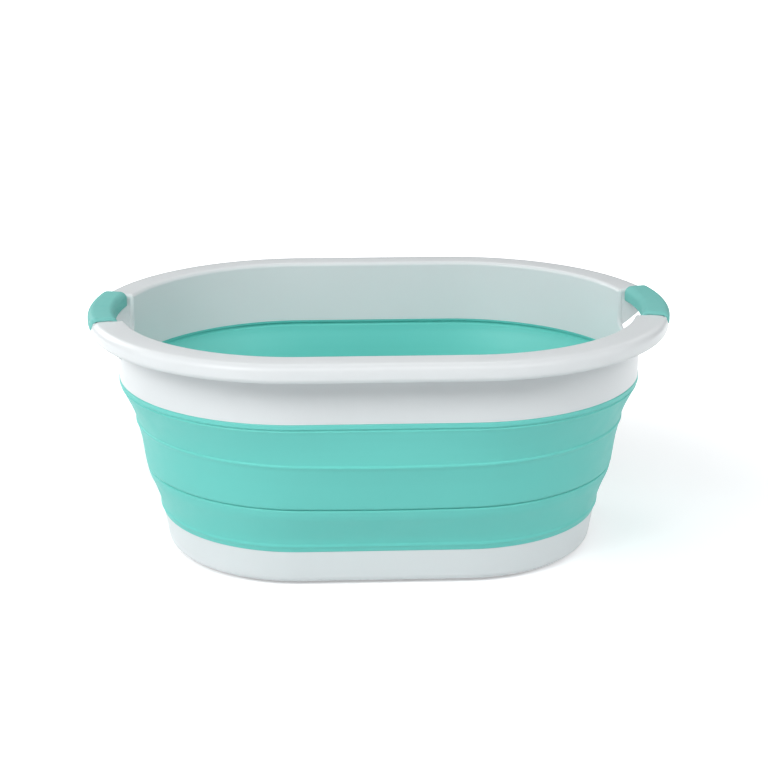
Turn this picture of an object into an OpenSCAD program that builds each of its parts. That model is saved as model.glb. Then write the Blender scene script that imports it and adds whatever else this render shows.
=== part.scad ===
// Fold-flat baby bathtub: a hard upper frame and a hard base tray joined by a soft pleated wall.
// Every ring of the tub is one cross-section carried round the same oval: two half circles and two straight
// sides. A cross-section is a list of [radius, height] points, with the radius measured from the centre line
// of the straight sides. The origin is on the ground under the middle of the tub, with +X along its length.

/* [Tub] */
// Length over the rim
tub_length = 574; // [554:2:594]
// Width over the rim
tub_width = 416; // [410:2:424]
// Height of the rim's flat top
rim_top = 243; // [240:1:250]
// Wall thickness of the hard pieces
shell = 3; // [2.6:0.2:3.4]

/* [Rim and frame] */
// How far the rim stands out from the wall under it
rim_overhang = 27.8; // [26:0.2:30]
// Height of the rim's rolled edge, from its top to its lowest point
rim_depth = 17.5; // [17:0.5:20]
// Outer radius of the roll at the top of the rim
roll_top = 8; // [7:0.5:9]
// Outer radius of the roll at the bottom of the rim
roll_bottom = 6; // [5:0.5:7]
// Thickness of the frame's wall
frame_wall = 4.6; // [4:0.2:5]
// Height where the frame ends and the soft wall starts
frame_bottom = 178.6; // [176:0.2:181]

/* [Hand holds] */
// Width of each hand slot through the end wall
slot_width = 96; // [84:2:98]
// Lowest point of the hand slots
slot_bottom = 203; // [198:1:210]
// Length of a grip along the rim
grip_length = 106; // [100:2:112]
// Thickness of the webs beside the hand slots
web_thickness = 3; // [2.4:0.2:4]
// How far a grip stands above the rim
grip_proud = 3.5; // [2:0.5:4]

/* [Soft wall] */
// Height of the ridge under the upper pleat
ridge_height = 134; // [130:1:138]
// Radius of the ridge
ridge_radius = 164.4; // [162:0.1:166]
// Height of the groove under the middle band
groove_height = 87.4; // [84:0.2:91]
// Radius of the groove
groove_radius = 155.8; // [154:0.2:157]
// Radius where the lower pleat meets its bead
bead_radius = 143.4; // [142.4:0.2:144.4]
// Thickness of the two pleats
pleat_wall = 2; // [1.6:0.2:2.4]
// Thickness of the stiffer middle band
band_wall = 3; // [2.6:0.2:3.4]
// Height of the bead under the frame
upper_bead_height = 6; // [5:0.5:7]
// Height of the bead on the base
lower_bead_height = 8.4; // [7:0.2:9]

/* [Base] */
// Height of the base tray, without its feet
base_top = 37.6; // [36:0.2:40]
// Outer radius of the base tray at its top
base_radius = 141.6; // [140.6:0.2:142.6]
// Outer radius of the base tray at the start of its rounded foot
foot_radius = 135.4; // [134:0.2:137]
// Radius of the rounding under the base tray
foot_round = 9.5; // [8:0.5:11]
// How far the rubber feet stand out under the tray
foot_proud = 1.2; // [0.8:0.2:1.6]
// Diameter of a rubber foot
foot_diameter = 18; // [14:1:18]

/* [Drain] */
// Distance of the drain from the middle of the tub
drain_x = 150; // [120:5:160]
// Diameter of the drain hole
drain_diameter = 26; // [22:1:28]
// Gap between the plug and the drain hole, all round
plug_gap = 0.05; // [0.02:0.01:0.1]
// Diameter of the plug's flange
plug_flange = 42; // [38:1:44]

/* [Hidden] */
$fn = 96;

half_straight = (tub_length - tub_width) / 2;
rim_radius = tub_width / 2;
wall_radius = rim_radius - rim_overhang;
wall_inside = wall_radius - frame_wall;
bead_top_inside = wall_inside + 0.4;
rim_bottom = rim_top - rim_depth;
flange_under = rim_top - shell;
rim_inner_round = 4;
flange_fillet = 2;
arc_steps = 5;

tongue_width = 1.6;
tongue_length = 3.6;
upper_tongue = wall_radius - frame_wall / 2;
lower_tongue = base_radius - shell / 2;

upper_bead_bottom = frame_bottom - upper_bead_height;
lower_bead_top = base_top + lower_bead_height;
upper_pleat_top = wall_radius - 0.2;
bead_bulge = 0.3;
bead_shoulder = 1.6;

// Shapes of the soft wall's three bands: [out, up] from the band's lower edge.
upper_pleat_shape = [[15.6, 38.6], [13.6, 34.6], [9.5, 26], [6, 18], [3.2, 11], [1.1, 5], [0, 0]];
middle_band_shape = [
    [8.6, 46.6], [8.5, 44.6], [8, 41.6], [6.6, 35.6], [5, 27.6], [2.7, 11], [1.4, 2], [0, 0]
];
lower_pleat_shape = [[12.4, 41.4], [11, 32.4], [7.8, 24.4], [4.3, 15.5], [1.6, 7], [0, 0]];

bar_inside = wall_radius + 4.5;
bar_top = rim_top - 1;
bar_lip_bottom = bar_top - 9;
bar_shoulder = rim_radius - 2;
bar_seat = rim_bottom + roll_bottom + 0.5;
grip_inside = wall_radius + 1.4;
grip_outside = rim_radius + 0.8;
grip_low_inside = rim_top - 12;
grip_low_outside = rim_top - 8;
grip_top = rim_top + grip_proud;
grip_middle = rim_radius - 13;
grip_angle = 2 * asin(grip_length / 2 / grip_middle);
room_under = grip_low_inside - 3;
room_step = rim_radius - 6;
room_margin = 4;

web_start = slot_width / 2 + 1;
web_overlap = 1;

slot_corner = 12;
slot_top = rim_top + room_margin;
slot_cut = 50;
slot_cut_start = half_straight + wall_radius - slot_cut + 10;

foot_side_angle = -15;
floor_under = 4;
floor_top = 7;
cut_margin = 1;
ring_inside = 104;
foot_socket = 1.3;
foot_row = ring_inside + 10;
foot_spots = [for (y = [-foot_row, foot_row]) for (x = [-half_straight, half_straight]) [x, y]];

plug_stem_bottom = floor_under - 0.5;
plug_flange_height = 2.2;
plug_tab = [4, 16, 15];
plug_tab_root = floor_top + plug_flange_height - 0.5;
plug_tab_middle = floor_top + plug_flange_height + plug_tab.z - plug_tab.y / 2;

hard_white = [0.93, 0.95, 0.95];
soft_teal = [0.44, 0.82, 0.77];
foot_grey = [0.75, 0.79, 0.79];

// Points along an arc, from one angle to another.
function arc(centre, radius, from, to) = [
    for (i = [0:arc_steps])
        centre + radius * [cos(from + (to - from) * i / arc_steps), sin(from + (to - from) * i / arc_steps)]
];

// The same line of points moved inwards by a wall's thickness, in the opposite order.
function inside(points, wall) = [for (i = [len(points) - 1:-1:0]) points[i] - [wall, 0]];

// A cross-section carried round the whole oval.
module oval_ring(points) {
    for (side = [-1, 1]) {
        translate([side * half_straight, 0, 0])
            rotate([0, 0, -90 * side])
                rotate_extrude(angle = 180)
                    polygon(points);
        mirror([0, side > 0 ? 1 : 0, 0])
            rotate([90, 0, 90])
                linear_extrude(height = 2 * half_straight, center = true)
                    polygon(points);
    }
}

// A cross-section carried over a sector of one end, symmetric about the X axis; end is -1 or 1.
module end_sector(points, angle, end) {
    translate([end * half_straight, 0, 0])
        rotate([0, 0, (end < 0 ? 180 : 0) - angle / 2])
            rotate_extrude(angle = angle)
                polygon(points);
}

// A flat oval plate of one radius.
module oval_plate(radius, height) {
    linear_extrude(height = height)
        union() {
            translate([-half_straight, 0]) circle(r = radius);
            translate([half_straight, 0]) circle(r = radius);
            square([2 * half_straight, 2 * radius], center = true);
        }
}

// Wall, flange and rolled edge of the frame, without its hand holds.
function frame_section() = concat(
    [
        [wall_radius, frame_bottom],
        [wall_radius, flange_under - flange_fillet],
        [wall_radius + flange_fillet, flange_under]
    ],
    arc([rim_radius - roll_top, rim_top - roll_top], roll_top - shell, 90, 0),
    arc([rim_radius - roll_bottom, rim_bottom + roll_bottom], roll_bottom - shell, 0, -90),
    arc([rim_radius - roll_bottom, rim_bottom + roll_bottom], roll_bottom, -90, 0),
    arc([rim_radius - roll_top, rim_top - roll_top], roll_top, 0, 90),
    arc([wall_inside + rim_inner_round, rim_top - rim_inner_round], rim_inner_round, 90, 180),
    [[bead_top_inside, frame_bottom]]
);

// Channel section of the bar that each grip is moulded on, above the rolled edge.
function bar_section() = [
    [bar_inside, bar_lip_bottom],
    [bar_inside + shell, bar_lip_bottom],
    [bar_inside + shell, bar_top - shell],
    [rim_radius - shell, bar_top - shell],
    [rim_radius - shell, bar_seat],
    [rim_radius, bar_seat],
    [rim_radius, grip_low_outside],
    [bar_shoulder, grip_low_outside],
    [bar_shoulder, bar_top],
    [bar_inside, bar_top]
];

// Saddle of a grip, over the bar and down its inner lip.
function grip_section() = concat(
    [[bar_shoulder, grip_low_outside], [grip_outside, grip_low_outside]],
    arc([grip_outside - roll_top, grip_top - roll_top], roll_top, 0, 90),
    arc([grip_inside + roll_top, grip_top - roll_top], roll_top, 90, 180),
    [
        [grip_inside, grip_low_inside],
        [bar_inside + shell, grip_low_inside],
        [bar_inside + shell, bar_lip_bottom],
        [bar_inside, bar_lip_bottom],
        [bar_inside, bar_top],
        [bar_shoulder, bar_top]
    ]
);

// Room that the bar and the grip take up in the frame.
function grip_room() = [
    [wall_inside - room_margin, room_under],
    [room_step, room_under],
    [room_step, grip_low_outside],
    [rim_radius + room_margin, grip_low_outside],
    [rim_radius + room_margin, rim_top + room_margin],
    [wall_inside - room_margin, rim_top + room_margin]
];

// Outline of a hand slot seen from the end, open at its top, with rounded lower corners.
function slot_outline() = concat(
    [[slot_width / 2, slot_top]],
    arc([slot_width / 2 - slot_corner, slot_bottom + slot_corner], slot_corner, 0, -90),
    arc([slot_corner - slot_width / 2, slot_bottom + slot_corner], slot_corner, -90, -180),
    [[-slot_width / 2, slot_top]]
);

module hand_slot(end) {
    intersection() {
        rotate([90, 0, 90])
            translate([0, 0, end < 0 ? -slot_cut_start - slot_cut : slot_cut_start])
                linear_extrude(height = slot_cut)
                    polygon(slot_outline());
        translate([end * half_straight, 0, slot_bottom - cut_margin])
            cylinder(r = wall_radius + cut_margin, h = rim_top);
    }
}

// Distance along X to a point of one end at a given radius, level with the webs.
function web_reach(radius) = half_straight + sqrt(radius * radius - web_start * web_start);

// Web beside a hand slot, from the wall out to the rolled edge, seen along Y.
function web_outline() = [
    [web_reach(wall_radius - 2 * web_overlap), slot_bottom],
    [web_reach(rim_radius - shell + web_overlap), rim_bottom + shell],
    [web_reach(rim_radius - shell + web_overlap), flange_under - roll_top / 2],
    [web_reach(rim_radius - roll_top), flange_under + web_overlap],
    [web_reach(wall_radius - 2 * web_overlap), flange_under + web_overlap]
];

module slot_webs() {
    for (end = [0, 1])
        for (side = [-1, 1])
            mirror([end, 0, 0])
                translate([0, side * (web_start + web_thickness / 2), 0])
                    rotate([90, 0, 0])
                        linear_extrude(height = web_thickness, center = true)
                            polygon(web_outline());
}

module upper_frame() {
    color(hard_white)
        union() {
            difference() {
                union() {
                    oval_ring(frame_section());
                    slot_webs();
                }
                for (end = [-1, 1]) {
                    hand_slot(end);
                    end_sector(grip_room(), grip_angle, end);
                }
            }
            for (end = [-1, 1])
                end_sector(bar_section(), grip_angle, end);
            oval_ring([
                [upper_tongue - tongue_width / 2, frame_bottom - tongue_length],
                [upper_tongue + tongue_width / 2, frame_bottom - tongue_length],
                [upper_tongue + tongue_width / 2, frame_bottom],
                [upper_tongue - tongue_width / 2, frame_bottom]
            ]);
        }
}

module grip(end) {
    color(soft_teal)
        end_sector(grip_section(), grip_angle, end);
}

// Bead of the soft wall, moulded round the tongue under the frame.
module upper_bead() {
    color(soft_teal)
        oval_ring([
            [wall_radius, frame_bottom],
            [wall_radius + bead_bulge, frame_bottom - bead_shoulder],
            [wall_radius + bead_bulge, upper_bead_bottom + bead_shoulder],
            [upper_pleat_top, upper_bead_bottom],
            [wall_inside, upper_bead_bottom],
            [bead_top_inside, frame_bottom],
            [upper_tongue - tongue_width / 2, frame_bottom],
            [upper_tongue - tongue_width / 2, frame_bottom - tongue_length],
            [upper_tongue + tongue_width / 2, frame_bottom - tongue_length],
            [upper_tongue + tongue_width / 2, frame_bottom]
        ]);
}

// A band of the soft wall, with its shape stretched to end at both of its edges.
function band_line(shape, top, bottom) = [
    for (step = shape)
        [for (i = [0, 1]) bottom[i] + step[i] * (top[i] - bottom[i]) / shape[0][i]]
];

module soft_band(shape, top, bottom, wall) {
    line = band_line(shape, top, bottom);
    color(soft_teal)
        oval_ring(concat(line, inside(line, wall)));
}

module upper_pleat() {
    top = [upper_pleat_top, upper_bead_bottom];
    soft_band(upper_pleat_shape, top, [ridge_radius, ridge_height], pleat_wall);
}

module middle_band() {
    top = [ridge_radius, ridge_height];
    soft_band(middle_band_shape, top, [groove_radius, groove_height], band_wall);
}

module lower_pleat() {
    top = [groove_radius, groove_height];
    soft_band(lower_pleat_shape, top, [bead_radius, lower_bead_top], pleat_wall);
}

// Bead of the soft wall, moulded round the tongue on the base tray.
module lower_bead() {
    color(soft_teal)
        oval_ring([
            [bead_radius, lower_bead_top],
            [bead_radius - pleat_wall - 2, lower_bead_top],
            [base_radius - shell, base_top],
            [lower_tongue - tongue_width / 2, base_top],
            [lower_tongue - tongue_width / 2, base_top + tongue_length],
            [lower_tongue + tongue_width / 2, base_top + tongue_length],
            [lower_tongue + tongue_width / 2, base_top],
            [base_radius, base_top],
            [base_radius + bead_bulge, base_top + bead_shoulder],
            [bead_radius + 0.4, lower_bead_top - bead_shoulder]
        ]);
}

function tray_section() = concat(
    [[ring_inside, foot_proud]],
    arc([foot_radius - foot_round, foot_proud + foot_round], foot_round, -90, foot_side_angle),
    [
        [base_radius, base_top],
        [lower_tongue + tongue_width / 2, base_top],
        [lower_tongue + tongue_width / 2, base_top + tongue_length],
        [lower_tongue - tongue_width / 2, base_top + tongue_length],
        [lower_tongue - tongue_width / 2, base_top],
        [base_radius - shell, base_top]
    ],
    arc([foot_radius - shell - foot_round, floor_top + foot_round], foot_round, foot_side_angle, -90),
    [[ring_inside, floor_top]]
);

module base_tray() {
    color(hard_white)
        difference() {
            union() {
                oval_ring(tray_section());
                translate([0, 0, floor_under])
                    oval_plate(ring_inside + cut_margin, floor_top - floor_under);
            }
            translate([drain_x, 0, 0])
                cylinder(d = drain_diameter, h = floor_top + cut_margin);
            for (spot = foot_spots)
                translate([spot.x, spot.y, foot_proud - cut_margin])
                    cylinder(d = foot_diameter, h = foot_socket + cut_margin);
        }
}

// Stopper with a flange that seals on the floor and a tab to pull it by.
module drain_plug() {
    color(soft_teal)
        translate([drain_x, 0, 0])
            union() {
                translate([0, 0, plug_stem_bottom])
                    cylinder(d = drain_diameter - 2 * plug_gap, h = floor_top - plug_stem_bottom);
                translate([0, 0, floor_top])
                    cylinder(d = plug_flange, h = plug_flange_height);
                translate([-plug_tab.x / 2, -plug_tab.y / 2, plug_tab_root])
                    cube([plug_tab.x, plug_tab.y, plug_tab_middle - plug_tab_root]);
                translate([-plug_tab.x / 2, 0, plug_tab_middle])
                    rotate([0, 90, 0])
                        cylinder(d = plug_tab.y, h = plug_tab.x);
            }
}

module foot(number) {
    color(foot_grey)
        translate([foot_spots[number].x, foot_spots[number].y, 0])
            cylinder(d = foot_diameter, h = foot_proud + foot_socket);
}

upper_frame();
grip(-1);  // left_grip
grip(1);  // right_grip
upper_bead();
upper_pleat();
middle_band();
lower_pleat();
lower_bead();
base_tray();
drain_plug();
foot(0);  // foot_front_left
foot(1);  // foot_front_right
foot(2);  // foot_back_left
foot(3);  // foot_back_right
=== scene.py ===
# Fold-flat baby bathtub: smooth shells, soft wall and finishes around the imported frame.
import cmath
import math

import bmesh
import bpy
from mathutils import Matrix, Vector
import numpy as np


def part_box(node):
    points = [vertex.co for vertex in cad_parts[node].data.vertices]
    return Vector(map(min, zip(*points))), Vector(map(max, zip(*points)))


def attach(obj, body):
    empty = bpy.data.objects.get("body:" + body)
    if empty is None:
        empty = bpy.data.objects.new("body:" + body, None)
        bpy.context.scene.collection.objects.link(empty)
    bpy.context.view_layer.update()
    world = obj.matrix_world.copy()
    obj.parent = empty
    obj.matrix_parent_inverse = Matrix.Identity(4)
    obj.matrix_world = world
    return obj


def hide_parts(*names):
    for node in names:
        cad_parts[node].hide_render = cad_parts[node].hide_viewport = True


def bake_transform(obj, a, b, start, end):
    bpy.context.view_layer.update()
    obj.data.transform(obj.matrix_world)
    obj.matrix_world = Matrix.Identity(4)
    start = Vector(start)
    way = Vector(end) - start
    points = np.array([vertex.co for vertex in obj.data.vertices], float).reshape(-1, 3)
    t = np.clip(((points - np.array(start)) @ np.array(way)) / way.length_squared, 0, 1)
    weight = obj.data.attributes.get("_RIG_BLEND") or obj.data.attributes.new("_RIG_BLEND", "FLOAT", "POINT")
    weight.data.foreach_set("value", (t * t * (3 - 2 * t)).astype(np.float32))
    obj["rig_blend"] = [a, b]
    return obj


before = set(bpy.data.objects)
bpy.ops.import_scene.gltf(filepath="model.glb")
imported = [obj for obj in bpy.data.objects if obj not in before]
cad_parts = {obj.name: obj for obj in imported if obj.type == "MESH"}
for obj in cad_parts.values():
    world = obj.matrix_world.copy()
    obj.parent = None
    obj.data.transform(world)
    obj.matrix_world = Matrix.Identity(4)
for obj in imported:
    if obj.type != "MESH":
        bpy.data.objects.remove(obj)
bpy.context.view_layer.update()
print("frame loaded:", len(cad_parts), "nodes")

mm = 0.001
frameLow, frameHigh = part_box("upper_frame")
beadLow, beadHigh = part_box("upper_bead")
bandLow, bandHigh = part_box("middle_band")
hemLow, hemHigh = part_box("lower_bead")
trayLow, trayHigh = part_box("base_tray")
plugLow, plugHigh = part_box("drain_plug")
gripLow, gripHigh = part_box("right_grip")

# the driving sizes of the oval, in millimetres
tub = {
    "halfStraight": (frameHigh.x - frameHigh.y) / mm,
    "rimRadius": frameHigh.y / mm,
    "rimTop": frameHigh.z / mm,
    "wallRadius": beadHigh.y / mm - 0.3,
    "wallInside": beadHigh.y / mm - 4.9,
    "frameBottom": beadHigh.z / mm,
    "beadBottom": beadLow.z / mm,
    "ridgeRadius": bandHigh.y / mm,
    "ridgeHeight": bandHigh.z / mm,
    "grooveHeight": bandLow.z / mm,
    "grooveRadius": bandHigh.y / mm - 8.6,
    "hemTop": hemHigh.z / mm,
    "hemRadius": hemHigh.y / mm - 0.4,
    "trayRadius": trayHigh.y / mm,
    "trayTop": hemLow.z / mm,
    "trayBottom": trayLow.z / mm,
    "pathSteps": 384,
}


def addCamera():
    settings = {"place": (-70.9, -1698.5, 699.0), "heading": 2.55, "tilt": 17.6, "lens": 82.78}
    camera = bpy.data.objects.new("camera", bpy.data.cameras.new("camera"))
    bpy.context.scene.collection.objects.link(camera)
    camera.location = Vector(settings["place"]) * mm
    camera.rotation_euler = (math.radians(90 - settings["tilt"]), 0, math.radians(-settings["heading"]))
    camera.data.lens = settings["lens"]
    camera.data.sensor_width = 36
    camera.data.clip_end = 50
    bpy.context.scene.camera = camera


def addNode(tree, kind, inputs=None, **settings):
    node = tree.nodes.new(kind)
    for key, value in settings.items():
        setattr(node, key, value)
    for key, value in (inputs or {}).items():
        socket = node.inputs[key]
        if isinstance(value, bpy.types.NodeSocket):
            tree.links.new(value, socket)
        else:
            socket.default_value = value
    return node


# ---- outlines


def roundedOutline(corners, closed=True, stepAngle=9.0, cornerSteps=0):
    # corners are (radius, height, rounding); each rounded corner becomes a short arc
    count = len(corners)
    ends = () if closed else (0, count - 1)
    spots = [Vector(corner[:2]) for corner in corners]
    halves, reaches = [], []
    for i in range(count):
        before, after = spots[i - 1] - spots[i], spots[(i + 1) % count] - spots[i]
        half = math.pi / 2 if i in ends else before.angle(after, math.pi) / 2
        halves.append(half)
        reaches.append(0.0 if i in ends or half > 1.55 else corners[i][2] / math.tan(half))
    for i in range(count):
        j = (i + 1) % count
        room, wanted = 0.98 * (spots[j] - spots[i]).length, reaches[i] + reaches[j]
        if wanted > room:
            reaches[i], reaches[j] = reaches[i] * room / wanted, reaches[j] * room / wanted
    points = []
    for i, here in enumerate(spots):
        if i in ends or corners[i][2] <= 0 or (reaches[i] <= 0 and not cornerSteps):
            points.append(here)
            continue
        before, after = (spots[i - 1] - here).normalized(), (spots[(i + 1) % count] - here).normalized()
        middle = here + (before + after).normalized() * (reaches[i] / math.cos(halves[i]))
        start = here + before * reaches[i] - middle
        turn = (math.pi - 2 * halves[i]) * (-1 if before.x * after.y > before.y * after.x else 1)
        steps = cornerSteps or max(2, math.ceil(abs(math.degrees(turn)) / stepAngle))
        for step in range(steps + 1):
            bend = complex(start.x, start.y) * cmath.exp(1j * turn * step / steps)
            points.append(middle + Vector((bend.real, bend.imag)))
    return points


def ovalSweepTree():
    tree = bpy.data.node_groups.new("ovalSweep", "GeometryNodeTree")
    face = tree.interface
    face.new_socket("Section", in_out="INPUT", socket_type="NodeSocketGeometry")
    for name, kind in (
        ("Half Straight", "NodeSocketFloat"),
        ("Path Radius", "NodeSocketFloat"),
        ("Bulge Reach", "NodeSocketFloat"),
        ("Circle Steps", "NodeSocketInt"),
        ("Path Steps", "NodeSocketInt"),
        ("Material", "NodeSocketMaterial"),
    ):
        face.new_socket(name, in_out="INPUT", socket_type=kind)
    face.new_socket("Geometry", in_out="OUTPUT", socket_type="NodeSocketGeometry")
    given = addNode(tree, "NodeGroupInput").outputs

    # path: a circle pulled apart into two half circles and two straight sides
    circle = addNode(tree, "GeometryNodeCurvePrimitiveCircle",
                     {"Resolution": given["Circle Steps"], "Radius": given["Path Radius"]})
    place = addNode(tree, "GeometryNodeInputPosition").outputs[0]
    split = addNode(tree, "ShaderNodeSeparateXYZ", {0: place})
    side = addNode(tree, "ShaderNodeMath", {0: split.outputs[0]}, operation="SIGN")
    pull = addNode(tree, "ShaderNodeMath", {0: side.outputs[0], 1: given["Half Straight"]}, operation="MULTIPLY")
    shift = addNode(tree, "ShaderNodeCombineXYZ", {0: pull.outputs[0]})
    oval = addNode(tree, "GeometryNodeSetPosition", {"Geometry": circle.outputs[0], "Offset": shift.outputs[0]})
    path = addNode(tree, "GeometryNodeResampleCurve", {"Curve": oval.outputs[0], "Count": given["Path Steps"]})
    upright = addNode(tree, "GeometryNodeSetCurveNormal", {"Curve": path.outputs[0]}, mode="Z_UP")
    section = addNode(tree, "GeometryNodeMeshToCurve", {"Mesh": given["Section"]})
    swept = addNode(tree, "GeometryNodeCurveToMesh",
                    {"Curve": upright.outputs[0], "Profile Curve": section.outputs[0]})

    # the long sides belly outwards by the section's own bulge, most in the middle
    clamped = addNode(tree, "ShaderNodeClamp", {0: split.outputs[0], 2: given["Half Straight"]})
    lowest = addNode(tree, "ShaderNodeMath", {0: given["Half Straight"], 1: -1.0}, operation="MULTIPLY")
    tree.links.new(lowest.outputs[0], clamped.inputs[1])
    centre = addNode(tree, "ShaderNodeCombineXYZ", {0: clamped.outputs[0], 2: split.outputs[2]})
    outward = addNode(tree, "ShaderNodeVectorMath", {0: place, 1: centre.outputs[0]}, operation="SUBTRACT")
    unit = addNode(tree, "ShaderNodeVectorMath", {0: outward.outputs[0]}, operation="NORMALIZE")
    length = addNode(tree, "ShaderNodeMath", {0: split.outputs[0]}, operation="ABSOLUTE")
    share = addNode(tree, "ShaderNodeMath", {0: length.outputs[0], 1: given["Bulge Reach"]},
                    operation="DIVIDE", use_clamp=True)
    turn = addNode(tree, "ShaderNodeMath", {0: share.outputs[0], 1: math.pi / 2}, operation="MULTIPLY")
    wave = addNode(tree, "ShaderNodeMath", {0: turn.outputs[0]}, operation="COSINE")
    soft = addNode(tree, "ShaderNodeMath", {0: wave.outputs[0], 1: 2.0}, operation="POWER")
    bulge = addNode(tree, "GeometryNodeInputNamedAttribute", {"Name": "bulge"}, data_type="FLOAT")
    amount = addNode(tree, "ShaderNodeMath", {0: bulge.outputs[0], 1: soft.outputs[0]}, operation="MULTIPLY")
    push = addNode(tree, "ShaderNodeVectorMath", {0: unit.outputs[0]}, operation="SCALE")
    tree.links.new(amount.outputs[0], push.inputs["Scale"])
    bellied = addNode(tree, "GeometryNodeSetPosition", {"Geometry": swept.outputs[0], "Offset": push.outputs[0]})

    smooth = addNode(tree, "GeometryNodeSetShadeSmooth", {"Geometry": bellied.outputs[0]})
    real = addNode(tree, "GeometryNodeRealizeInstances", {"Geometry": smooth.outputs[0]})
    dressed = addNode(tree, "GeometryNodeSetMaterial",
                      {"Geometry": real.outputs[0], "Material": given["Material"]})
    addNode(tree, "NodeGroupOutput", {"Geometry": dressed.outputs[0]})
    return tree


def setInput(modifier, name, value):
    for item in modifier.node_group.interface.items_tree:
        if item.item_type == "SOCKET" and item.in_out == "INPUT" and item.name == name:
            modifier[item.identifier] = value


def cleanMesh(mesh, mergeDistance=0.00002):
    work = bmesh.new()
    work.from_mesh(mesh)
    bmesh.ops.remove_doubles(work, verts=work.verts, dist=mergeDistance)
    bmesh.ops.dissolve_degenerate(work, edges=work.edges, dist=mergeDistance)
    bmesh.ops.recalc_face_normals(work, faces=work.faces)
    work.to_mesh(mesh)
    work.free()
    mesh.shade_smooth()


def addObject(name, mesh):
    piece = bpy.data.objects.new(name, mesh)
    bpy.context.scene.collection.objects.link(piece)
    return piece


def ovalPiece(name, outline, material, closed=True, bulges=None):
    # carries an outline of (radius, height) points round the tub's oval
    mesh = bpy.data.meshes.new(name + "Section")
    count = len(outline)
    pathRadius = tub["wallRadius"] * mm
    places = [(point[0] * mm - pathRadius, -point[1] * mm, 0) for point in outline]
    edges = [(i, (i + 1) % count) for i in range(count if closed else count - 1)]
    mesh.from_pydata(places, edges, [])
    layer = mesh.attributes.new("bulge", "FLOAT", "POINT")
    layer.data.foreach_set("value", [b * mm for b in bulges] if bulges else [0.0] * count)
    source = addObject(name + "Source", mesh)
    modifier = source.modifiers.new("ovalSweep", "NODES")
    modifier.node_group = sweepTree
    for label, value in (
        ("Half Straight", tub["halfStraight"] * mm),
        ("Path Radius", pathRadius),
        ("Bulge Reach", 0.2),
        ("Circle Steps", 1202),
        ("Path Steps", tub["pathSteps"]),
        ("Material", material),
    ):
        setInput(modifier, label, value)
    bpy.context.view_layer.update()
    graph = bpy.context.evaluated_depsgraph_get()
    result = bpy.data.meshes.new_from_object(source.evaluated_get(graph))
    bpy.data.objects.remove(source)
    cleanMesh(result)
    for attribute in [a for a in result.attributes if a.name == "bulge"]:
        result.attributes.remove(attribute)
    result.name = name
    return addObject(name, result)


sweepTree = ovalSweepTree()

addCamera()


# ---- finishes


def newMaterial(name, settings):
    # moulded plastic: slow colour drift, fine grain and a roughness that wanders a little
    material = bpy.data.materials.new(name)
    material.use_nodes = True
    tree = material.node_tree
    shader = tree.nodes["Principled BSDF"]
    shader.inputs["IOR"].default_value = settings["ior"]
    shader.inputs["Metallic"].default_value = 0.0
    place = addNode(tree, "ShaderNodeTexCoord").outputs["Object"]
    drift = addNode(tree, "ShaderNodeTexNoise", {"Vector": place, "Scale": settings["driftScale"], "Detail": 2.0})
    colour = addNode(tree, "ShaderNodeMix", data_type="RGBA")
    tree.links.new(drift.outputs["Fac"], colour.inputs["Factor"])
    colour.inputs["A"].default_value = (*settings["colour"], 1)
    colour.inputs["B"].default_value = (*settings["colourDrift"], 1)
    tree.links.new(colour.outputs["Result"], shader.inputs["Base Color"])
    smear = addNode(tree, "ShaderNodeTexNoise", {"Vector": place, "Scale": settings["smearScale"], "Detail": 4.0})
    rough = addNode(tree, "ShaderNodeMapRange", {
        "Value": smear.outputs["Fac"], "From Min": 0.3, "From Max": 0.7,
        "To Min": settings["roughness"][0], "To Max": settings["roughness"][1]})
    tree.links.new(rough.outputs["Result"], shader.inputs["Roughness"])
    grain = addNode(tree, "ShaderNodeTexNoise", {"Vector": place, "Scale": settings["grainScale"], "Detail": 3.0})
    bump = addNode(tree, "ShaderNodeBump", {
        "Height": grain.outputs["Fac"], "Strength": settings["grain"], "Distance": 0.0004})
    tree.links.new(bump.outputs["Normal"], shader.inputs["Normal"])
    material.diffuse_color = (*settings["colour"], 1)
    return material


hardWhite = newMaterial("satinWhitePlastic", {
    "colour": (0.735, 0.768, 0.778), "colourDrift": (0.752, 0.780, 0.790),
    "driftScale": 6.0, "smearScale": 38.0, "roughness": (0.30, 0.38), "grainScale": 1900.0, "grain": 0.10,
    "ior": 1.49})
softTeal = newMaterial("tealRubber", {
    "colour": (0.135, 0.600, 0.540), "colourDrift": (0.148, 0.622, 0.560),
    "driftScale": 8.0, "smearScale": 55.0, "roughness": (0.42, 0.52), "grainScale": 1500.0, "grain": 0.16,
    "ior": 1.47})
gripTeal = newMaterial("gripRubber", {
    "colour": (0.170, 0.520, 0.480), "colourDrift": (0.185, 0.540, 0.500),
    "driftScale": 20.0, "smearScale": 90.0, "roughness": (0.55, 0.66), "grainScale": 1100.0, "grain": 0.26,
    "ior": 1.47})
footGrey = newMaterial("footRubber", {
    "colour": (0.520, 0.580, 0.580), "colourDrift": (0.490, 0.550, 0.550),
    "driftScale": 60.0, "smearScale": 200.0, "roughness": (0.60, 0.75), "grainScale": 2200.0, "grain": 0.3,
    "ior": 1.47})


# ---- joining and cutting


def applyModifiers(piece):
    bpy.context.view_layer.update()
    graph = bpy.context.evaluated_depsgraph_get()
    result = bpy.data.meshes.new_from_object(piece.evaluated_get(graph))
    piece.modifiers.clear()
    piece.data = result
    return piece


def joinBy(piece, others, operation):
    for other in others:
        modifier = piece.modifiers.new("cut", "BOOLEAN")
        modifier.operation = operation
        modifier.solver = "EXACT"
        modifier.object = other
        applyModifiers(piece)
        bpy.data.objects.remove(other)
    return piece


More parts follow.
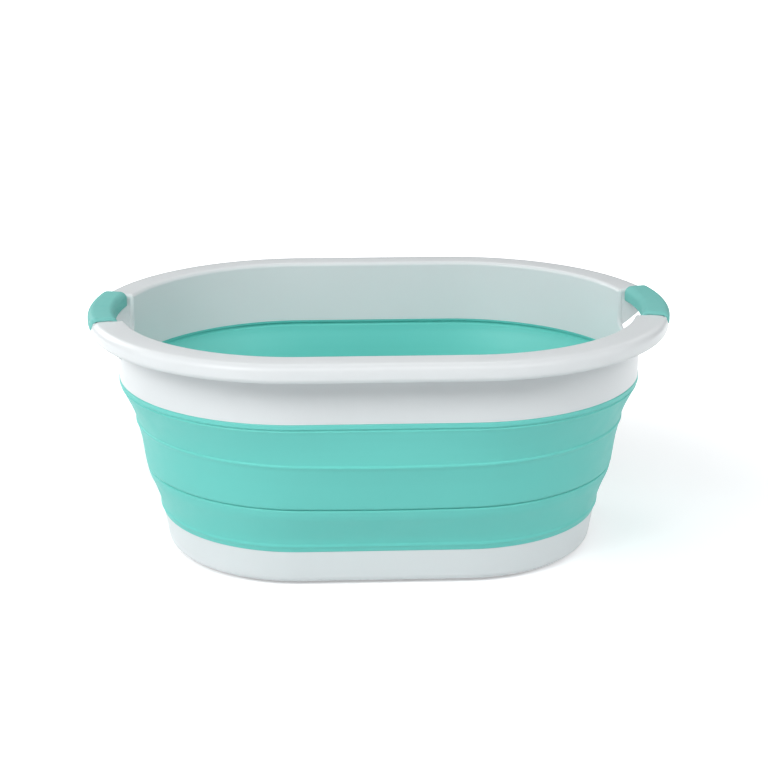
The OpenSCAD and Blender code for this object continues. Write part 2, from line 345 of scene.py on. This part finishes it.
def finishMesh(piece, material, sharpAngle=32):
    cleanMesh(piece.data)
    piece.data.materials.clear()
    piece.data.materials.append(material)
    piece.data.polygons.foreach_set("material_index", [0] * len(piece.data.polygons))
    piece.data.set_sharp_from_angle(angle=math.radians(sharpAngle))
    piece.data.update()
    return piece


def loftedRings(name, rings, closed=False, capEnds=True):
    # rings are equal lists of points; faces join each ring to the next
    count = len(rings[0])
    places = [tuple(point * mm) for ring in rings for point in ring]
    faces = []
    for i in range(len(rings) if closed else len(rings) - 1):
        a, b = i * count, (i + 1) % len(rings) * count
        faces += [(a + j, a + (j + 1) % count, b + (j + 1) % count, b + j) for j in range(count)]
    if capEnds and not closed:
        faces.append(tuple(range(count)))
        faces.append(tuple((len(rings) - 1) * count + j for j in reversed(range(count))))
    mesh = bpy.data.meshes.new(name)
    mesh.from_pydata(places, [], faces)
    cleanMesh(mesh)
    return addObject(name, mesh)


def endPoint(r, z, angle, end):
    turn = math.radians(angle)
    return Vector((end * (tub["halfStraight"] + r * math.cos(turn)), r * math.sin(turn), z))


def endSector(name, outline, halfAngle, end, steps=48):
    angles = [halfAngle * (2 * i / steps - 1) for i in range(steps + 1)]
    return loftedRings(name, [[endPoint(p[0], p[1], angle, end) for p in outline] for angle in angles])


def lathePiece(name, outline, centre, steps=64):
    # outline starts and ends on the axis
    rings = []
    for i in range(steps):
        turn = 2 * math.pi * i / steps
        rings.append([Vector((centre[0] + r * math.cos(turn), centre[1] + r * math.sin(turn), z)) for r, z in outline])
    return loftedRings(name, rings, closed=True)


# ---- upper frame: wall, rolled rim, hand slots, bars and webs

rim = {
    "shell": 3.0,
    "rollTop": 8.0,
    "rollBottom": 6.0,
    "depth": 17.5,
    "innerRound": 4.0,
    "slotHalfWidth": 48.0,
    "slotBottom": 203.0,
    "slotCorner": 12.0,
    "slotRound": 1.6,
    "topRound": 3.0,
    "gripHalfAngle": 15.77,
}


def rimOutline():
    r, top, shell = tub["rimRadius"], tub["rimTop"], rim["shell"]
    low = top - rim["depth"]
    return roundedOutline([
        (tub["wallRadius"], tub["frameBottom"], 0.4),
        (tub["wallRadius"], top - shell, 3.0),
        (r - shell, top - shell, rim["rollTop"] - shell),
        (r - shell, low + shell, 2.4),
        (r - rim["rollBottom"], low + shell, 0.7),
        (r - rim["rollBottom"], low, 0.7),
        (r, low, rim["rollBottom"]),
        (r, top, rim["rollTop"]),
        (tub["wallInside"], top, rim["innerRound"]),
        (tub["wallInside"] + 0.4, tub["frameBottom"], 0.4),
    ])


def slotOutline(grow):
    # U shape seen along X, open at the top, its upper ends rounded outwards
    half, low = rim["slotHalfWidth"] + grow, rim["slotBottom"] - grow
    corner, flare, top = rim["slotCorner"] + grow, rim["topRound"], tub["rimTop"]
    right = [(half + flare, top + 8), (half + flare, top)]
    right += [(half + flare - flare * math.sin(a), top - flare + flare * math.cos(a))
              for a in [math.radians(15 * i) for i in range(1, 7)]]
    right += [(half, z) for z in (232, 224)]
    right += [(half - corner + corner * math.cos(a), low + corner - corner * math.sin(a))
              for a in [math.radians(10 * i) for i in range(10)]]
    right += [(y, low) for y in (30, 24, 18, 12, 6)]
    return right + [(0, low)] + [(-y, z) for y, z in reversed(right)]


def slotCutter(end):
    inner, outer, soft = tub["wallInside"], tub["wallRadius"], rim["slotRound"]
    levels = [(inner - 6, soft)]
    levels += [(inner + soft * (1 - math.cos(a)), soft * (1 - math.sin(a)))
               for a in [math.radians(15 * i) for i in range(7)]]
    levels += [(outer - soft * (1 - math.cos(a)), soft * (1 - math.sin(a)))
               for a in [math.radians(90 - 15 * i) for i in range(6)]]
    levels.append((outer + 1.4, soft))
    half = tub["halfStraight"]
    rings = [[Vector((end * (half + math.sqrt(r * r - y * y)), y, z)) for y, z in slotOutline(grow)]
             for r, grow in levels]
    # flat ends, so that the cutter's caps stay off the curved wall
    for place, reach in ((0, inner - 16), (len(rings) + 1, outer + 3)):
        rings.insert(place, [Vector((end * (half + reach), y, z)) for y, z in slotOutline(soft)])
    return loftedRings("slotCutter", rings)


def roomCutter(end):
    # space for the grip above the bar
    inside, step, outside = tub["wallRadius"] + 1.0, tub["rimRadius"] - 6, tub["rimRadius"] + 4
    low, mid, high = tub["rimTop"] - 15, tub["rimTop"] - 8, tub["rimTop"] + 6
    return endSector("roomCutter", [
        (inside, low), (step, low), (step, mid), (outside, mid), (outside, high), (inside, high)],
        rim["gripHalfAngle"], end)


def gripBar(end):
    inside, outside, top = tub["wallRadius"] + 4.8, tub["rimRadius"] - 1.6, tub["rimTop"] - 1
    outline = roundedOutline([
        (inside, top - 9, 0.8), (inside + 3, top - 9, 0.8), (inside + 3, top - 3, 1.5),
        (outside - 1.2, top - 3, 1.5), (outside - 1.2, top - 12, 0.3), (outside, top - 12, 0.3),
        (outside, top, 2), (inside, top, 2)])
    return endSector("gripBar", outline, rim["gripHalfAngle"] + 0.4, end)


def slotWeb(end, side):
    # plate that closes the rim's channel beside the slot
    start, thick = rim["slotHalfWidth"] + 1, 3.0
    wallIn, skirtIn = tub["wallRadius"] - 2, tub["rimRadius"] - 1.8
    rings = []
    for y in (start, start + thick):
        reach = [tub["halfStraight"] + math.sqrt(r * r - start * start) for r in (wallIn, skirtIn)]
        outline = [(reach[0], 203), (reach[0] + 9, 209.5), (reach[0] + 18, 217.5), (reach[1], 228.6),
                   (reach[1], 237.5), (reach[1] - 5, 241.2), (reach[0], 241.2)]
        rings.append([Vector((end * x, side * y, z)) for x, z in outline])
    return loftedRings("slotWeb", rings)


frameShell = ovalPiece("frameShell", rimOutline(), hardWhite)
joinBy(frameShell, [cutter(end) for end in (-1, 1) for cutter in (slotCutter, roomCutter)], "DIFFERENCE")
joinBy(frameShell, [gripBar(end) for end in (-1, 1)], "UNION")
joinBy(frameShell, [slotWeb(end, side) for end in (-1, 1) for side in (-1, 1)], "UNION")
finishMesh(frameShell, hardWhite)
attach(frameShell, "frame")
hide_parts("upper_frame")
print("upper frame:", len(frameShell.data.polygons), "faces")


# ---- grips

grip = {
    "proud": 3.5,
    "inside": 181.6,
    "outside": 208.8,
    "lowInside": 231.0,
    "lowOutside": 235.0,
    "round": 7.0,
    "endRound": 3.4,
    "halfAngle": 15.6,
}


def gripOutline(inset):
    # the outside of the saddle draws in by inset; the face on the bar stays
    top = tub["rimTop"] + grip["proud"] - inset
    inside, outside = grip["inside"] + inset, grip["outside"] - inset
    soft = grip["round"] - inset
    barIn, barOut, barTop = tub["wallRadius"] + 4.6, tub["rimRadius"] - 1.5, tub["rimTop"] - 0.9
    return roundedOutline([
        (barOut, grip["lowOutside"] - inset * 0.2, 0.1), (outside, grip["lowOutside"] + inset * 0.4, 0.6),
        (outside, top, soft), (inside, top, soft), (inside, grip["lowInside"] + inset, 2.0),
        (barIn + 3.4, grip["lowInside"] + inset, 1.2), (barIn + 3.4, barTop - 9.4, 0.1),
        (barIn, barTop - 9.4, 0.1), (barIn, barTop, 0.1), (barOut, barTop, 0.1)], cornerSteps=10)


def gripPiece(name, end):
    soft, middle = grip["endRound"], 195.0
    stations = []
    for i in range(7):
        turn = math.radians(15 * i)
        stations.append((soft * (1 - math.sin(turn)), soft * (1 - math.cos(turn))))
    half = math.radians(grip["halfAngle"]) * middle
    angles = [(math.degrees((along - half) / middle), inset) for inset, along in stations]
    inner = 44
    start = angles[-1][0]
    angles += [(start + (-2 * start) * i / inner, 0.0) for i in range(1, inner)]
    angles += [(-angle, inset) for angle, inset in reversed(angles[:len(stations)])]
    rings = [[endPoint(p[0], p[1], angle, end) for p in gripOutline(inset)] for angle, inset in angles]
    return finishMesh(loftedRings(name, rings), gripTeal, 40)


for name, node, end in (("leftGrip", "left_grip", -1), ("rightGrip", "right_grip", 1)):
    piece = gripPiece(name, end)
    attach(piece, "frame")
    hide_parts(node)
print("grips done")


# ---- soft wall

softWall = {
    # how far the long sides belly out, by height
    "belly": [(178.6, 0), (170, 1.0), (160, 3.6), (147, 7.4), (134, 10.6), (120, 9.4), (100, 7.2), (87.4, 6.2),
              (75, 5.6), (62, 3.2), (52, 1.0), (46, 0.3), (37.6, 0)],
    "pleatWall": 2.0,
    "bandWall": 3.0,
}


def heightValue(table, z):
    for (highZ, high), (lowZ, low) in zip(table, table[1:]):
        if z >= lowZ:
            t = (z - lowZ) / (highZ - lowZ)
            t = min(1.0, max(0.0, t))
            return low + (high - low) * t
    return table[-1][1]


def smoothLine(points, pieces=5):
    # curve through every point, with its ends kept
    result = []
    padded = [points[0]] + list(points) + [points[-1]]
    for i in range(1, len(padded) - 2):
        a, b, c, d = [Vector(p) for p in padded[i - 1:i + 3]]
        for step in range(pieces):
            t = step / pieces
            result.append(0.5 * ((2 * b) + (c - a) * t + (2 * a - 5 * b + 4 * c - d) * t * t
                                 + (3 * b - a - 3 * c + d) * t ** 3))
    result.append(Vector(points[-1]))
    return result


def softUpperOutline():
    wall, top = tub["wallRadius"], tub["frameBottom"]
    bead = roundedOutline([
        (wall, top, 0), (wall + 0.5, top - 0.7, 0.4), (wall + 0.5, top - 4.3, 0.9), (wall - 1.3, top - 5.5, 0.3),
        (wall - 1.3, top - 6.3, 0.3), (wall - 0.4, top - 7.3, 0.6), (178.6, 169.6, 0)], closed=False, stepAngle=15)
    pleat = smoothLine([(178.6, 169.6), (176.6, 165.4), (173.4, 158.8), (170.1, 151.6), (167.6, 145), (165.9, 139.6),
                        (165.2, 137.0)])
    ridge = roundedOutline([
        (165.2, 137.0, 0), (165.0, 136.0, 0.4), (165.9, 135.2, 0.4), (165.8, 133.6, 0.7), (164.6, 131.8, 0.8),
        (163.9, 129.4, 0)], closed=False, stepAngle=15)
    band = smoothLine([(163.9, 129.4), (162.6, 123.4), (160.9, 115.4), (159.7, 106.5), (158.6, 98.0), (157.6, 91.0)])
    lip = [Vector((157.3, 89.2)), Vector((156.6, 88.3)), Vector((155.2, 87.7)), Vector((154.9, 87.4))]
    inner = smoothLine([(152.6, 87.4), (154.8, 98.4), (157.0, 115), (159.0, 123), (160.8, 128.4), (162.2, 134),
                        (164.0, 140), (167.2, 149), (171.4, 158.6), (174.8, 166.0), (176.4, 170.8)])
    step = roundedOutline([
        (176.4, 170.8, 0), (176.6, 172.2, 0.5), (178.2, 173.3, 0.5), (178.2, 175.6, 0.8), (175.8, 176.6, 0.4),
        (tub["wallInside"], top, 0)], closed=False, stepAngle=15)
    return bead + pleat[1:] + ridge[1:] + band[1:] + lip + inner + step[1:]


def softLowerOutline():
    top = [Vector((154.9, 87.4)), Vector((155.1, 87.1)), Vector((156.2, 86.6))]
    pleat = smoothLine([(156.5, 85.8), (155.6, 81.5), (154.1, 77.0), (151.2, 70.4), (148.2, 62.4), (145.6, 54.5),
                        (144.2, 48.6)])
    hem = roundedOutline([
        (144.2, 48.6, 0), (143.8, 46.4, 1.0), (144.3, 45.2, 0.6), (144.3, 43.6, 0.9), (142.8, 41.6, 1.2),
        (142.3, 38.9, 0.5), (141.7, 37.7, 0.1), (141.6, 37.6, 0)], closed=False, stepAngle=15)
    inner = smoothLine([(138.6, 37.6), (138.8, 39.2), (139.4, 43.0), (140.8, 48.0), (142.8, 54.5), (145.6, 62.4),
                        (148.6, 70.4), (151.8, 78.4), (152.6, 87.4)])
    return top + pleat + hem[1:] + inner


def bellies(outline):
    return [heightValue(softWall["belly"], p.y) for p in outline]


def softPiece(name, outline, nodes):
    piece = ovalPiece(name, outline, softTeal, bulges=bellies(outline))
    finishMesh(piece, softTeal, 50)
    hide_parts(*nodes)
    return piece


softWallUpper = softPiece("softWallUpper", softUpperOutline(), ["upper_bead", "upper_pleat", "middle_band"])
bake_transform(softWallUpper, "middle", "frame", start=(0, 0, tub["ridgeHeight"] * mm), end=(0, 0, 0.1726))
softWallLower = softPiece("softWallLower", softLowerOutline(), ["lower_pleat", "lower_bead"])
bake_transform(softWallLower, "base", "middle", start=(0, 0, tub["hemTop"] * mm), end=(0, 0, tub["grooveHeight"] * mm))
print("soft wall:", len(softWallUpper.data.polygons) + len(softWallLower.data.polygons), "faces")


# ---- base tray

tray = {
    "footRadius": 135.4,
    "footRound": 9.5,
    "wall": 3.0,
    "floorTop": 7.0,
    "floorUnder": 4.0,
    "ringInside": 104.0,
    "middle": 40.0,
    "drain": 13.0,
    "drainPlace": (plugLow + plugHigh) / 2 / mm,
    "socketDepth": 1.2,
    "footSpot": 9.0,
}
footNodes = ("foot_front_left", "foot_front_right", "foot_back_left", "foot_back_right")


def trayOutline():
    low, wall, foot = tub["trayBottom"] + 1.2, tray["wall"], tray["footRadius"]
    return roundedOutline([
        (tray["middle"], tray["floorTop"], 0), (foot - wall, tray["floorTop"], 10.5),
        (tub["trayRadius"] - wall, tub["trayTop"], 0.2), (tub["trayRadius"], tub["trayTop"], 0.5),
        (foot + 0.5, low, tray["footRound"]), (tray["ringInside"], low, 0.8),
        (tray["ringInside"], tray["floorUnder"], 0.8), (tray["middle"], tray["floorUnder"], 0)], closed=False)


def cylinderCutter(name, centre, radius, low, high, steps=64):
    return lathePiece(name, [(0, low), (radius, low), (radius, high), (0, high)], centre, steps)


def trayPiece():
    piece = ovalPiece("baseTray", trayOutline(), hardWhite, closed=False)
    work = bmesh.new()
    work.from_mesh(piece.data)
    bmesh.ops.holes_fill(work, edges=[edge for edge in work.edges if edge.is_boundary], sides=0)
    bmesh.ops.recalc_face_normals(work, faces=work.faces)
    work.to_mesh(piece.data)
    work.free()
    drain = tray["drainPlace"]
    cutters = [cylinderCutter("drainCutter", (drain.x, drain.y), tray["drain"], 0, 12)]
    for node in footNodes:
        low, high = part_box(node)
        spot = (low + high) / 2 / mm
        cutters.append(cylinderCutter("footCutter", (spot.x, spot.y), tray["footSpot"] + 0.2, 0, 2.6, steps=48))
    joinBy(piece, cutters, "DIFFERENCE")
    return finishMesh(piece, hardWhite)


baseTray = trayPiece()
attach(baseTray, "base")
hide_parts("base_tray")
print("base tray:", len(baseTray.data.polygons), "faces")


# ---- drain plug and feet

plug = {"stem": 12.9, "flange": 21.0, "stemBottom": 3.5, "floor": 7.0, "dome": 2.2, "tab": (4.0, 16.0, 15.0)}


def plugPiece():
    centre = tray["drainPlace"]
    outline = roundedOutline([
        (0, plug["stemBottom"], 0), (plug["stem"], plug["stemBottom"], 0.6), (plug["stem"], plug["floor"], 0.1),
        (plug["flange"], plug["floor"], 0.3), (plug["flange"], plug["floor"] + 1.2, 1.0),
        (11.0, plug["floor"] + plug["dome"], 5.0), (0, plug["floor"] + plug["dome"], 0)], closed=False)
    body = lathePiece("drainPlug", outline, (centre.x, centre.y))
    thick, wide, tall = plug["tab"]
    root, soft = plug["floor"] + plug["dome"] - 1.0, 1.2
    rings = []
    for i in range(13):
        turn = math.radians(-90 + 15 * i)
        inset, across = soft * (1 - math.cos(turn)), (thick / 2 - soft) * (1 if i > 6 else -1) + soft * math.sin(turn)
        if i == 6:
            across = 0.0
        half, top = wide / 2 - inset, root + 1 + tall - inset
        ring = [(-half, root), (-half, top - half)]
        ring += [(-half * math.cos(a), top - half + half * math.sin(a)) for a in [math.radians(10 * k) for k in range(1, 18)]]
        ring += [(half, top - half), (half, root)]
        rings.append([Vector((centre.x + across, centre.y + y, z)) for y, z in ring])
    joinBy(body, [loftedRings("plugTab", rings)], "UNION")
    return finishMesh(body, softTeal, 40)


drainPlug = plugPiece()
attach(drainPlug, "plug")
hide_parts("drain_plug")

for node, name in zip(footNodes, ("footFrontLeft", "footFrontRight", "footBackLeft", "footBackRight")):
    low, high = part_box(node)
    spot, radius, top = (low + high) / 2 / mm, (high.x - low.x) / 2 / mm, high.z / mm
    outline = roundedOutline([(0, 0.3, 0), (5.2, 0.3, 0.3), (5.6, 0, 0.2), (radius - 0.1, 0, 0.9),
                              (radius - 0.1, top - 0.1, 0.3), (0, top - 0.1, 0)], closed=False)
    foot = finishMesh(lathePiece(name, outline, (spot.x, spot.y), 48), footGrey)
    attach(foot, "base")
    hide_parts(node)
print("plug and feet done")


# ---- floor, light and background

studio = {
    "worldStrength": 0.13,
    "floorColour": (0.86, 0.87, 0.88),
    "floorLift": 0.33,
    "floorNear": 0.40,
    "floorFar": 0.90,
    "lampSize": 1.4,
    "target": (0, 0, 0.12),
    "lamps": [
        # place, power
        ((-1.5, -1.6, 1.9), 33.0),  # key from the upper left
        ((-2.4, -0.3, 1.2), 13.0),
        ((0, -1.7, 2.1), 14.0),
        ((1.5, -1.6, 1.9), 16.0),
        ((2.4, -0.3, 1.2), 10.0),
        ((0, 1.6, 2.1), 8.0),
        ((-1.7, 1.6, 1.3), 19.0),  # behind, for the near wall's inside
        ((1.7, 1.6, 1.3), 5.0),
    ],
}


def addFloor():
    mesh = bpy.data.meshes.new("floor")
    reach = 12.0
    mesh.from_pydata([(-reach, -reach, 0), (reach, -reach, 0), (reach, reach, 0), (-reach, reach, 0)], [], [(0, 1, 2, 3)])
    floor = addObject("floor", mesh)
    material = bpy.data.materials.new("paleFloor")
    material.use_nodes = True
    tree = material.node_tree
    tree.nodes.clear()
    matte = addNode(tree, "ShaderNodeBsdfDiffuse", {"Color": (*studio["floorColour"], 1)})
    glow = addNode(tree, "ShaderNodeEmission", {"Color": (1, 1, 1, 1)})
    path = addNode(tree, "ShaderNodeLightPath")
    seen = addNode(tree, "ShaderNodeMath", {0: path.outputs["Is Camera Ray"], 1: path.outputs["Is Glossy Ray"]},
                   operation="MAXIMUM")
    # the lift is weak round the tub, where its shadow lies, and full from a little way off
    place = addNode(tree, "ShaderNodeTexCoord").outputs["Object"]
    away = addNode(tree, "ShaderNodeVectorMath", {0: place}, operation="LENGTH")
    level = addNode(tree, "ShaderNodeMapRange", {
        "Value": away.outputs["Value"], "From Min": studio["floorNear"], "From Max": studio["floorFar"],
        "To Min": studio["floorLift"], "To Max": 1.0}, interpolation_type="SMOOTHSTEP")
    lift = addNode(tree, "ShaderNodeMath", {0: seen.outputs[0], 1: level.outputs["Result"]}, operation="MULTIPLY")
    tree.links.new(lift.outputs[0], glow.inputs["Strength"])
    both = addNode(tree, "ShaderNodeAddShader", {0: matte.outputs[0], 1: glow.outputs[0]})
    addNode(tree, "ShaderNodeOutputMaterial", {"Surface": both.outputs[0]})
    mesh.materials.append(material)


def addWorld():
    world = bpy.data.worlds.new("studio")
    bpy.context.scene.world = world
    world.use_nodes = True
    tree = world.node_tree
    tree.nodes.clear()
    path = addNode(tree, "ShaderNodeLightPath")
    seen = addNode(tree, "ShaderNodeMath", {0: path.outputs["Is Camera Ray"], 1: path.outputs["Is Transmission Ray"]},
                   operation="MAXIMUM")
    soft = addNode(tree, "ShaderNodeBackground", {"Color": (0.95, 0.97, 1, 1), "Strength": studio["worldStrength"]})
    white = addNode(tree, "ShaderNodeBackground", {"Color": (1, 1, 1, 1), "Strength": 1.0})
    mix = addNode(tree, "ShaderNodeMixShader", {0: seen.outputs[0], 1: soft.outputs[0], 2: white.outputs[0]})
    addNode(tree, "ShaderNodeOutputWorld", {"Surface": mix.outputs[0]})


def addLamps():
    for number, (place, power) in enumerate(studio["lamps"]):
        lamp = bpy.data.lights.new(f"softbox{number}", "AREA")
        lamp.shape = "DISK"
        lamp.size = studio["lampSize"]
        lamp.energy = power
        holder = bpy.data.objects.new(lamp.name, lamp)
        holder.location = place
        holder.rotation_euler = (Vector(studio["target"]) - Vector(place)).to_track_quat("-Z", "Y").to_euler()
        bpy.context.scene.collection.objects.link(holder)


addFloor()
addWorld()
addLamps()
bpy.context.scene.view_settings.view_transform = "Standard"
print("studio done")
